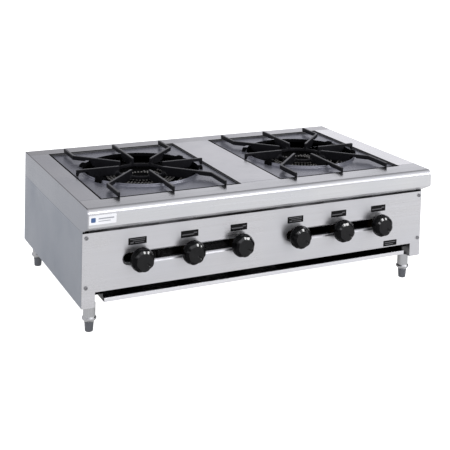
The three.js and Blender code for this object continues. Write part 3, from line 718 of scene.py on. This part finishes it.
def grate(side):
    lo, hi = node_box(f"{side}_grate")
    cx, cy, top = (lo.x + hi.x) / 2, (lo.y + hi.y) / 2, hi.z
    low = lo.z
    span_x, span_y = (hi.x - lo.x) / 2, (hi.y - lo.y) / 2
    flat, arch, plate = 299.25, 302.3, 293.85
    hub, bend, thick = 57.4, 133.4, 6.4
    s = Soup()

    def arm(end, toe):
        haunch = [(hub, low), (124, low), (129.5, low + 0.4), (133.4, low + 1.9), (136.2, low + 4.6), (138.2, low + 8.6), (139.4, low + 12.6), (140.4, arch), (152.3, arch)]
        if toe:
            tail = [(end - 9.5, arch), (end - 7.6, arch - 1.5), (end - 6.2, plate + 1.5), (end - 5.2, plate), (end, plate)]
        else:
            tail = [(156, flat), (end, flat)]
        return haunch + tail + [(end, top - 1.2), (end - 1.2, top), (hub + 1.2, top), (hub, top - 1.2)]

    for a in (0, math.pi):
        s.add(*prism(arm(span_x, True), thick, a, cx, cy))
    for a in (math.pi / 2, -math.pi / 2):
        s.add(*prism(arm(span_y, False), thick, a, cx, cy))
    for sx in (-1, 1):
        for sy in (-1, 1):
            reach = bend * math.sqrt(2) + 1.4
            s.add(*prism(arm(reach, False), thick, math.atan2(sy, sx), cx, cy))
            y0, y1 = cy + sy * (bend - 1.6), cy + sy * span_y
            a, b = min(y0, y1), max(y0, y1)
            line = [(a, flat), (b, flat), (b, top - 1.2), (b - 1.2, top), (a + 1.2, top), (a, top - 1.2)]
            s.add(*prism(line, thick, 0, cx, cy, along="y", x=cx + sx * bend, draft=0.3))
    s.add(*lathe([(hub, low), (hub + 6.3, low), (hub + 6.6, low + 4), (hub + 6.2, low + 8), (hub + 0.4, low + 8), (hub, low)][:-1], cx, cy, 0, "Z", 72))
    # webs where the arms run into the hub
    for k in range(8):
        a = k * math.pi / 4
        web = [(hub + 1, low + 0.3), (hub + 16, low + 0.3), (hub + 9, low + 9.5), (hub + 1, low + 9.5)]
        s.add(*prism(web, 10.5, a, cx, cy, draft=0.8))
    o = s.build(f"{side}_grate_cast", [M["grate_iron"]])
    r = o.modifiers.new("remesh", "REMESH")
    r.mode = "VOXEL"
    r.voxel_size = 0.00125
    r.use_smooth_shade = True
    k = o.modifiers.new("ease", "SMOOTH")
    k.factor = 0.5
    k.iterations = 4
    apply_modifiers(o)
    # hand-cast unevenness of a few tenths of a millimetre
    for v in o.data.vertices:
        p = v.co / MM
        w = math.sin(p.x * 0.061 + 1.3) * math.sin(p.y * 0.052 + 0.4) * 0.22 + math.sin(p.x * 0.017 - p.y * 0.023) * 0.15
        if p.z < top - 3:
            v.co.z += w * MM * 0.5
    o.data.shade_smooth()
    o.data.update()
    o.data.materials.clear()
    o.data.materials.append(M["grate_iron"])
    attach(o, f"{side}_grate")
    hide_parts(f"{side}_grate")
    return cx, cy


CENTRE = {side: grate(side) for side in ("left", "right")}


# ------------------------------------------------------------------ drop-in top plates with a rolled collar
def top_plate(side):
    lo, hi = node_box(f"{side}_top_plate")
    cx, cy = CENTRE[side]
    z0 = lo.z
    zt = z0 + 1.5
    rim = hi.z
    r_in = 144.0
    inner = [(r_in, z0 + 0.4), (r_in, rim - 1.4), (r_in + 0.35, rim - 0.4), (r_in + 1.0, rim), (r_in + 1.7, rim - 0.35), (r_in + 2.1, rim - 1.2),
             (r_in + 2.5, zt + 2.6), (r_in + 3.1, zt + 1.0), (r_in + 4.2, zt + 0.25), (r_in + 5.8, zt)]
    n = 160
    corners = [math.atan2(y - cy, x - cx) % (2 * math.pi) for x in (lo.x, hi.x) for y in (lo.y, hi.y)]
    angles = sorted([2 * math.pi * j / n for j in range(n)] + corners)
    angles = [a for i, a in enumerate(angles) if i == 0 or a - angles[i - 1] > 1e-4]
    n = len(angles)
    shares = (0.12, 0.28, 0.48, 0.68, 0.84, 0.99, 1.0)
    BORDER = 2.2
    rings = []

    def edge_r(a):
        c, s = math.cos(a), math.sin(a)
        out = []
        if abs(c) > 1e-9:
            out.append(((hi.x if c > 0 else lo.x) - cx) / c)
        if abs(s) > 1e-9:
            out.append(((hi.y if s > 0 else lo.y) - cy) / s)
        return min(t for t in out if t > 0)

    def reach(a, t):
        """Radius of a ring: t 0.99 is a line BORDER mm inside the plate's edge."""
        e = edge_r(a)
        if t != 0.99:
            return r_in + 5.8 + (e - r_in - 5.8) * t
        half = (hi.x - cx) if abs(e * math.cos(a)) > (hi.x - cx) - 1e-4 else (hi.y - cy)
        return e * (1 - BORDER / half)

    def wave(x, y, k):
        """Slight oil-canning of the sheet, none at its edges."""
        return k * (0.35 * math.sin(x * 0.021 + 0.7) * math.cos(y * 0.017) + 0.18 * math.sin(y * 0.043 + x * 0.012))

    for r, z in inner:
        rings.append([(cx + r * math.cos(a), cy + r * math.sin(a), z) for a in angles])
    for t in shares:
        row = []
        for a in angles:
            r = reach(a, t)
            x, y = cx + r * math.cos(a), cy + r * math.sin(a)
            k = math.sin(math.pi * t) if t < 1 else 0.0
            row.append((x, y, zt - 0.1 + 0.1 * (1 - t) + 0.3 * wave(x, y, k)))
        rings.append(row)
    for t in shares[::-1]:
        row = []
        for a in angles:
            r = reach(a, t)
            x, y = cx + r * math.cos(a), cy + r * math.sin(a)
            k = math.sin(math.pi * t) if t < 1 else 0.0
            row.append((x, y, z0 + 0.05 + 0.3 * wave(x, y, k)))
        rings.append(row)
    rings.append([(cx + (r_in + 5.8) * math.cos(a), cy + (r_in + 5.8) * math.sin(a), z0 + 0.1) for a in angles])
    rings.append([(cx + (r_in + 0.5) * math.cos(a), cy + (r_in + 0.5) * math.sin(a), z0) for a in angles])
    verts = [p for row in rings for p in row]
    faces = ring_faces(len(rings), n, closed_rows=True)
    s = Soup()
    s.add(verts, faces)
    rows = len(rings)
    rim_rows = (len(inner) + len(shares) - 2, len(inner) + len(shares) - 1, len(inner) + len(shares))
    # painted shade: the collar rows, the lugs and the hole's lower rim take the near-black collar material; the rim
    # rows take the dark border band
    s.k = [1 if (i // n < 4 or i // n >= rows - 2) else (2 if i // n in rim_rows else 0) for i in range(len(faces))]
    # cast lugs of the collar, which keep the grate from turning
    for az, r0, r1, w, h in ((26.5, 143.2, 155.0, 15.0, 9.0), (206.0, 132.0, 151.0, 20.0, 10.5), (345.0, 143.2, 156.0, 14.0, 8.0), (146.0, 143.2, 157.0, 20.0, 8.0)):
        c, q = math.cos(math.radians(az)), math.sin(math.radians(az))
        zb, e = zt - 0.7, 1.2
        v = []
        for z, g in ((zb, 0.0), (zt + h - e, 0.3), (zt + h, e)):
            for d, t in ((r0 + g, -w / 2 + g), (r1 - g * 1.6, -w / 2 + g), (r1 - g * 1.6, w / 2 - g), (r0 + g, w / 2 - g)):
                v.append((cx + d * c - t * q, cy + d * q + t * c, z))
        s.add(v, ring_faces(3, 4) + [(0, 1, 2, 3)[::-1], (8, 9, 10, 11)], 1)
    o = s.build(f"{side}_top_plate_pressed", [M["plate_steel"], M["collar_shade"], M["plate_border_dark"]], 50)
    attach(o, f"{side}_plate")
    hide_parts(f"{side}_top_plate")


for side in ("left", "right"):
    top_plate(side)


# ------------------------------------------------------------------ burner ports: raised bosses with a drilled hole, in rows on each ring
def ports(side):
    cx, cy = CENTRE[side]
    for ring, radius in (("outer", 112.0), ("middle", 75.0), ("inner", 38.0)):
        top = 281.0
        s = Soup()
        for dr, shift in ((-8.2, 0.0), (0.6, 0.5), (9.0, 0.0)):
            r = radius + dr
            count = int(round(2 * math.pi * r / 8.4))
            for k in range(count):
                a = 2 * math.pi * (k + shift) / count
                x, y = cx + r * math.cos(a), cy + r * math.sin(a)
                profile = [(2.6, top - 0.6), (2.6, top + 0.5), (2.2, top + 1.3), (1.5, top + 1.4), (1.25, top + 1.0), (1.2, top - 0.6)]
                # painted shade: ports on the rear part of each ring take the near-black burner iron, the front ones the
                # paler port metal
                s.add(*lathe(profile, x, y, 0, "Z", 9), 0 if y < cy + 34 else 1)
        o = s.build(f"{side}_burner_{ring}_ports", [M["port_metal"], M["burner_iron"]], 40)
        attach(o, "root")


for side in ("left", "right"):
    ports(side)


# ------------------------------------------------------------------ bullnose front rail
RAIL_LINE = [(34.1, 290.2), (34.1, 299.0), (-36.9, 299.0), (-36.9, 257.7), (2.6, 237.2)]
outer = fillet(RAIL_LINE, [0, 1.9, 14.0, 3.6, 0], 18)
# the line runs from the recess to the nose and back under it, so its inner side is on the right of its reverse
line = outer[::-1]
inner_line = offset(line, 1.5)
section = [tuple(p) for p in line] + [tuple(p) for p in inner_line[::-1]]
s = Soup()
lo, hi = node_box("front_rail")
s.add(*extrude_x(section, lo.x, hi.x, cuts=24))
front_rail = s.build("front_rail_folded", [M["rail_steel"]], 35)
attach(front_rail, "root")
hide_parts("front_rail")


# ------------------------------------------------------------------ legs and feet
for where in ("front_left", "front_right", "rear_left", "rear_right"):
    lo, hi = node_box(f"leg_{where}")
    cx, cy = (lo.x + hi.x) / 2, (lo.y + hi.y) / 2
    top = hi.z
    outer_line = fillet([(6.4, 23), (10.9, 23), (16.4, 29.0), (16.4, 32.4), (13.9, 35.6), (13.8, top), (0, top)], [0, 0.6, 1.2, 1.2, 2.0, 0.8, 0], 5)
    prof = [(0.0, 52.0), (6.4, 52.0)] + [tuple(p) for p in outer_line]
    s = Soup()
    s.add(*lathe(prof, cx, cy, 0, "Z", 56))
    o = s.build(f"leg_{where}_turned", [M["leg_metal"]], 35)
    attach(o, "root")
    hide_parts(f"leg_{where}")
    line_ = fillet([(0, 0), (8.4, 0), (9.3, 1.4), (10.8, 20.5), (10.8, 22.7), (6, 22.7), (6, 50), (0, 50)], [0, 0.8, 0.8, 0.8, 0.5, 0, 0.6, 0], 4)
    prof = [tuple(p) for p in line_]

    def hexed(r, h, a):
        """Six wrench flats round the foot, between two plain bands."""
        if 5.5 < h < 17.5 and r > 8:
            flat = 9.35 / max(0.6, math.cos(((a + math.pi / 6) % (math.pi / 3)) - math.pi / 6))
            return min(r, flat), h
        return r, h

    fine = []
    for a, b in zip(prof, prof[1:]):
        steps = max(1, int(math.hypot(b[0] - a[0], b[1] - a[1]) / 1.2)) if a[0] > 8 and b[0] > 8 else 1
        fine += [(a[0] + (b[0] - a[0]) * k / steps, a[1] + (b[1] - a[1]) * k / steps) for k in range(steps)]
    fine.append(prof[-1])
    s = Soup()
    s.add(*lathe(fine, cx, cy, 0, "Z", 60, hexed))
    o = s.build(f"foot_{where}_screwed", [M["foot_metal"]], 28)
    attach(o, f"foot_{where}")
    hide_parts(f"foot_{where}")


# ------------------------------------------------------------------ panel screws with a cross recess
for where in ("left_upper", "left_lower", "right_upper", "right_lower"):
    lo, hi = node_box(f"panel_screw_{where}")
    cx, cz = (lo.x + hi.x) / 2, (lo.z + hi.z) / 2
    head = [(k * 0.25, -2.6 + 0.55 * (k * 0.25 / 4.2) ** 2) for k in range(17)]
    prof = head + [(4.45, -1.5), (4.6, -1.0), (4.6, -0.4), (4.4, -0.3), (2.0, -0.3), (2.0, 9.0), (0.0, 9.0)]

    def cross(r, h, a):
        if h > -1.9 or r > 2.6:
            return r, h
        u, w = abs(r * math.cos(a)), abs(r * math.sin(a))
        d = smooth(0.75, 0.45, min(u, w)) * smooth(2.5, 2.1, r)
        return r, h + 1.3 * d

    s = Soup()
    s.add(*lathe(prof, cx, 0, cz, "Y", 48, cross))
    o = s.build(f"panel_screw_{where}_cross", [M["screw_steel"]], 30)
    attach(o, "root")
    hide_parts(f"panel_screw_{where}")


# ------------------------------------------------------------------ labels: black film with plain bars, and a blank plate
X, Y, Z = Vector((1, 0, 0)), Vector((0, 1, 0)), Vector((0, 0, 1))
LABELS = [(129.0, 204.0, 3), (257.0, 204.0, 1), (383.7, 204.0, 1), (537.6, 204.0, 3), (661.5, 204.0, 1), (779.5, 204.0, 1), (820.0, 109.0, 2)]
for i, (x, z, rows) in enumerate(LABELS, 1):
    small = i == 7
    w, h = (41.0, 14.5) if small else (44.0, 16.0)
    s = Soup()
    s.add(*slab((x, 0, z), X, Z, -Y, w, h, 0.22, 1.2), 0)
    bars = {1: [(-4.0, -1.6, 30.0, 2.6), (14.5, 1.4, 9.0, 2.6)], 2: [(0, 2.2, 34.0, 2.0), (-3, -2.6, 26.0, 2.0)],
            3: [(0, 4.4, 36.0, 1.7), (3.0, 0.4, 29.0, 1.7), (-13.0, -3.4, 8.0, 2.8), (5.0, -3.9, 22.0, 1.7)]}[rows]
    for bx, bz, bw, bh in bars:
        s.add(*slab((x + bx, 0, z + bz), X, Z, -Y, bw, bh, 0.05, 0.5, lift=0.2), 1)
    o = s.build(f"label_{i}", [M["label_film"], M["label_ink"]], 30)
    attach(o, "root")

mid = Vector((33.6, -36.95, 275.4))
s = Soup()
s.add(*slab(mid, X, Z, -Y, 62.0, 20.8, 0.25, 2.0), 0)
s.add(*slab(mid + X * -21.5, X, Z, -Y, 10.5, 10.5, 0.05, 2.0, lift=0.23), 1)
s.add(*slab(mid + X * 8.0 + Z * 2.2, X, Z, -Y, 36.0, 3.0, 0.05, 1.0, lift=0.23), 2)
s.add(*slab(mid + X * 4.0 - Z * 3.4, X, Z, -Y, 28.0, 1.8, 0.05, 0.8, lift=0.23), 2)
o = s.build("blank_plate", [M["blank_plate"], M["blank_ink"], M["blank_grey"]], 30)
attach(o, "root")


# ------------------------------------------------------------------ the CAD nodes that stay
for name, obj in frame["nodes"].items():
    if obj.hide_render:
        continue
    slot_name = SLOTS[name]
    mat = M[slot_name]
    # copies of the steels for single nodes, with painted light and shade
    if name == "centre_top_rail":
        mat = M["rail_steel_y"]
    if name == "right_top_rail":
        mat = M["rail_steel_right_lit"]
    # painted shade: near-black base channels
    if name.endswith("_base_channel"):
        mat = M["channel_steel_shaded"]
    if name == "rear_rail":
        mat = M["rail_steel_rear_shaded"]
    if name == "left_top_rail":
        mat = M["rail_steel_left_shaded"]
    thin = slot_name in ("panel_steel", "rail_steel", "side_steel", "tray_steel")
    keep(name, mat, bevel=0.4 if thin and not name.endswith("_rail") else 0.0)


# ------------------------------------------------------------------ stage: floor, world, lights, camera
FLOOR_GLOW = 0.45


def floor_material():
    n = Nodes("studio_floor")
    a = n.noise(3.0, 3.0, 0.5)
    n.link(n.mix(a, (0.50, 0.50, 0.50), (0.54, 0.54, 0.54)), n.bsdf.inputs["Base Color"])
    n.bsdf.inputs["Roughness"].default_value = 0.9
    n.bsdf.inputs["Specular IOR Level"].default_value = 0.1
    n.bsdf.inputs["Emission Color"].default_value = (1, 1, 1, 1)
    # a pale, evenly lit sweep: its glow is a little stronger to the camera than in reflections
    path = n.t.nodes.new("ShaderNodeLightPath")
    n.link(n.ramp(path.outputs["Is Camera Ray"], 0.0, 1.0, FLOOR_GLOW, FLOOR_GLOW + 0.75), n.bsdf.inputs["Emission Strength"])
    return n.mat


me = bpy.data.meshes.new("studio_floor")
R = 60.0
me.from_pydata([(-R, -R, 0), (R, -R, 0), (R, R, 0), (-R, R, 0)], [], [(0, 1, 2, 3)])
me.materials.append(floor_material())
floor = bpy.data.objects.new("studio_floor", me)
scene.collection.objects.link(floor)

WALL_LEFT, WALL_RIGHT, SIDES = 0.46, 0.84, 0.12
world = bpy.data.worlds.new("studio")
scene.world = world
world.use_nodes = True
wt = world.node_tree
wt.nodes.clear()
wo = wt.nodes.new("ShaderNodeOutputWorld")
bg = wt.nodes.new("ShaderNodeBackground")
tc = wt.nodes.new("ShaderNodeTexCoord")
sp = wt.nodes.new("ShaderNodeSeparateXYZ")


def w_map(src, lo, hi, a, b, smooth_=True):
    n = wt.nodes.new("ShaderNodeMapRange")
    n.interpolation_type = "SMOOTHSTEP" if smooth_ else "LINEAR"
    for key, v in (("From Min", lo), ("From Max", hi), ("To Min", a), ("To Max", b)):
        n.inputs[key].default_value = v
    wt.links.new(src, n.inputs["Value"])
    return n.outputs["Result"]


def w_math(op, a, b):
    n = wt.nodes.new("ShaderNodeMath")
    n.operation = op
    for k, v in enumerate((a, b)):
        if isinstance(v, (int, float)):
            n.inputs[k].default_value = v
        else:
            wt.links.new(v, n.inputs[k])
    return n.outputs[0]


wt.links.new(tc.outputs["Generated"], sp.inputs[0])
wx, wy, wz = sp.outputs["X"], sp.outputs["Y"], sp.outputs["Z"]
# radiance by the sweep angle from the horizon behind (0), over the top (0.5), to the horizon in front (1)
sweep = w_math("DIVIDE", w_math("ARCTAN2", wz, wy), math.pi)
curve_ = wt.nodes.new("ShaderNodeFloatCurve")
line_ = curve_.mapping.curves[0]
POINTS = [(0.0, 1.0), (0.12, 0.97), (0.185, 0.42), (0.27, 0.36), (0.36, 0.45), (0.46, 0.68), (0.54, 0.86), (0.62, 0.98), (0.69, 1.12), (0.77, 1.36), (0.82, 1.55), (0.87, 1.25), (0.93, 0.92), (1.0, 0.90)]
line_.points[0].location = (POINTS[0][0], POINTS[0][1] / 2)
line_.points[1].location = (POINTS[-1][0], POINTS[-1][1] / 2)
for px_, py_ in POINTS[1:-1]:
    line_.points.new(px_, py_ / 2)
curve_.mapping.update()
wt.links.new(sweep, curve_.inputs["Value"])
arc = w_math("MULTIPLY", curve_.outputs[0], 2.0)
low_rear = w_map(sweep, 0.16, 0.24, 1.0, 0.0)
wall = w_map(wx, 0.22, 0.48, WALL_LEFT, WALL_RIGHT)
arc = w_math("MULTIPLY", arc, w_math("ADD", w_math("MULTIPLY", low_rear, wall), w_math("SUBTRACT", 1.0, low_rear)))
# darker towards both sides, away from the sweep's ends
aside = w_math("MULTIPLY", w_map(wx, -0.62, -0.30, SIDES, 1.0), w_map(wx, 0.68, 0.85, 1.0, SIDES))
strength = w_math("MULTIPLY", arc, aside)
# an evenly lit wall on the left, out of the way of the main view's reflections
left_wall = w_map(wx, -0.52, -0.34, 1.0, 0.0)
strength = w_math("ADD", w_math("MULTIPLY", strength, w_math("SUBTRACT", 1.0, left_wall)), w_math("MULTIPLY", left_wall, 0.85))
# the backdrop itself is plain: the camera sees an even white
seen = wt.nodes.new("ShaderNodeLightPath").outputs["Is Camera Ray"]
strength = w_math("ADD", w_math("MULTIPLY", strength, w_math("SUBTRACT", 1.0, seen)), w_math("MULTIPLY", seen, 1.1))
wt.links.new(strength, bg.inputs["Strength"])
bg.inputs["Color"].default_value = (0.985, 0.98, 1.035, 1.0)
wt.links.new(bg.outputs[0], wo.inputs[0])


def softbox(name, location, target, size, size_y, radiance, spread=180):
    d = bpy.data.lights.new(name, "AREA")
    d.shape = "RECTANGLE"
    d.size, d.size_y = size, size_y
    d.energy = radiance * math.pi * size * size_y
    d.spread = math.radians(spread)
    o = bpy.data.objects.new(name, d)
    o.location = location
    o.rotation_euler = (Vector(target) - Vector(location)).to_track_quat("-Z", "Y").to_euler()
    scene.collection.objects.link(o)
    return o


softbox("overhead_softbox", (0.25, -2.0, 1.5), (0, -0.1, 0.25), 1.5, 0.22, 4.5)
softbox("right_softbox", (2.3, -1.7, 1.1), (0, 0, 0.2), 0.9, 0.7, 7.0)
softbox("front_softbox", (0.9, -2.4, 1.5), (0, 0, 0.2), 1.2, 0.6, 1.4)
# a small accent card that only the knobs see
accent = softbox("knob_card", (0.445, -0.80, 0.89), (0, -0.29, 0.17), 0.5, 0.36, 16.0)
knob_set = bpy.data.collections.new("knob_set")
for i in range(1, 7):
    knob_set.objects.link(bpy.data.objects[f"knob_{i}_moulded"])
accent.light_linking.receiver_collection = knob_set

CAM = Vector((-1.1036, -2.24025, 0.9541))
yaw, pitch, roll = 0.454, 0.071, 0.026
fwd = Vector((math.sin(yaw) * math.cos(pitch), math.cos(yaw) * math.cos(pitch), -math.sin(pitch)))
right = Vector((math.cos(yaw), -math.sin(yaw), 0))
upv = right.cross(fwd)
r2 = right * math.cos(roll) + upv * math.sin(roll)
u2 = -right * math.sin(roll) + upv * math.cos(roll)
cd = bpy.data.cameras.new("camera")
cam = bpy.data.objects.new("camera", cd)
scene.collection.objects.link(cam)
cam.rotation_mode = "QUATERNION"
cam.location = CAM
cam.rotation_quaternion = Matrix((r2, u2, -fwd)).transposed().to_quaternion()
cd.sensor_width = 36.0
cd.lens = 77.92
cd.clip_start, cd.clip_end = 0.05, 200.0
scene.camera = cam
# The shift belongs to this camera place only: it is driven by the sum of the camera's coordinates, through a curve that is 0 elsewhere.
SHIFT = -0.5508
cd.shift_y = SHIFT
curve = cd.driver_add("shift_y")
curve.driver.type = "SUM"
for axis in ("X", "Y", "Z"):
    var = curve.driver.variables.new()
    var.name = "loc" + axis.lower()
    var.type = "TRANSFORMS"
    var.targets[0].id = cam
    var.targets[0].transform_type = "LOC_" + axis
    var.targets[0].transform_space = "WORLD_SPACE"
while curve.modifiers:
    curve.modifiers.remove(curve.modifiers[0])
here = CAM.x + CAM.y + CAM.z
for x, v in ((here - 0.05, 0.0), (here - 0.025, SHIFT), (here + 0.025, SHIFT), (here + 0.05, 0.0)):
    k = curve.keyframe_points.insert(x, v)
    k.interpolation = "LINEAR"
curve.update()

scene.view_settings.view_transform = "Standard"
scene.view_settings.look = "None"
scene.view_settings.exposure = 0.0
scene.view_settings.gamma = 1.0
